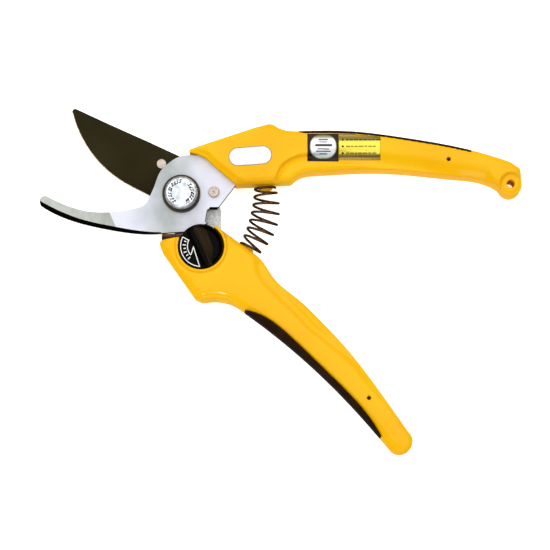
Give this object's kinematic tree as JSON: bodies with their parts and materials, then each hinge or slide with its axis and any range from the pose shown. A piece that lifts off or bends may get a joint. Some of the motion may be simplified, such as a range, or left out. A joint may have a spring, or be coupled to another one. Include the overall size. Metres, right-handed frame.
{
  "type": "bypass pruner",
  "caption": "Hand pruner with a curved cutting blade that passes a hook plate, two moulded handles, a coil return spring and a round lock dial.",
  "frame": {"origin": "on the pivot axis, in the plane that the tool rests on when it lies on its back", "axes": "+Z along the pivot axis away from the resting surface; +X along the upper handle, away from the jaws; the lower handle is on the -Y side"},
  "size_m": [0.2075, 0.1497, 0.0214],
  "materials": {
    "hook_steel": "fine brushed, ground hook, black bevel",
    "blade_coating": "dark low friction coating, satin",
    "carrier_steel": "grained grey steel",
    "copper_rivet": "copper coloured, satin",
    "bolt_steel": "bright plated",
    "black_oxide": "black oxide",
    "yellow_plastic": "gloss moulded nylon",
    "black_rubber": "soft satin rubber",
    "badge_white": "gloss, blank",
    "label_black": "printed label, gloss",
    "label_gold": "printed label, gloss",
    "label_silver": "printed seal, gloss",
    "dial_black": "gloss moulded plastic",
    "print_white": "pad print",
    "spring_steel": "oil tempered bronze brown wire",
    "acetal": "low friction plastic disc",
    "bumper_rubber": "brown rubber"
  },
  "bodies": {
    "hook_side": {"hook_plate": "hook_steel", "stop_rivet": "copper_rivet", "pivot_bolt": "bolt_steel", "pivot_nut": "bolt_steel", "pivot_ring": "black_oxide", "pivot_disc": "acetal", "back_washer": "bolt_steel", "upper_handle": "yellow_plastic", "upper_grip_inlay": "black_rubber", "upper_tang_pin": "black_oxide", "upper_badge": "badge_white", "label_dark": "label_black", "label_gold": "label_gold", "label_seal": "label_silver", "return_spring": "spring_steel"},
    "blade_side": {"cutting_blade": "blade_coating", "blade_carrier": "carrier_steel", "blade_rivets": "copper_rivet", "lower_handle": "yellow_plastic", "lower_grip_inlay": "black_rubber", "lower_tang_pin": "black_oxide", "bumper": "bumper_rubber", "lock_wave_washer": "bolt_steel"},
    "lock": {"lock_dial": "dial_black", "dial_arrow": "print_white", "lock_cam": "carrier_steel", "lock_spindle": "bolt_steel", "lock_circlip": "black_oxide"}
  },
  "joints": [
    {"name": "blade_pivot", "type": "hinge", "parent": "hook_side", "child": "blade_side", "pos_m": [0, 0, 0], "axis": [0, 0, 1], "range_deg": [0, 39], "stiffness_Nm_per_rad": 1.5, "springref_deg": -28.65, "deforming": ["return_spring"]},
    {"name": "lock_turn", "type": "hinge", "parent": "blade_side", "child": "lock", "pos_m": [0.0086, -0.0233, 0], "axis": [0, 0, 1], "range_deg": [-90, 0]}
  ]
}
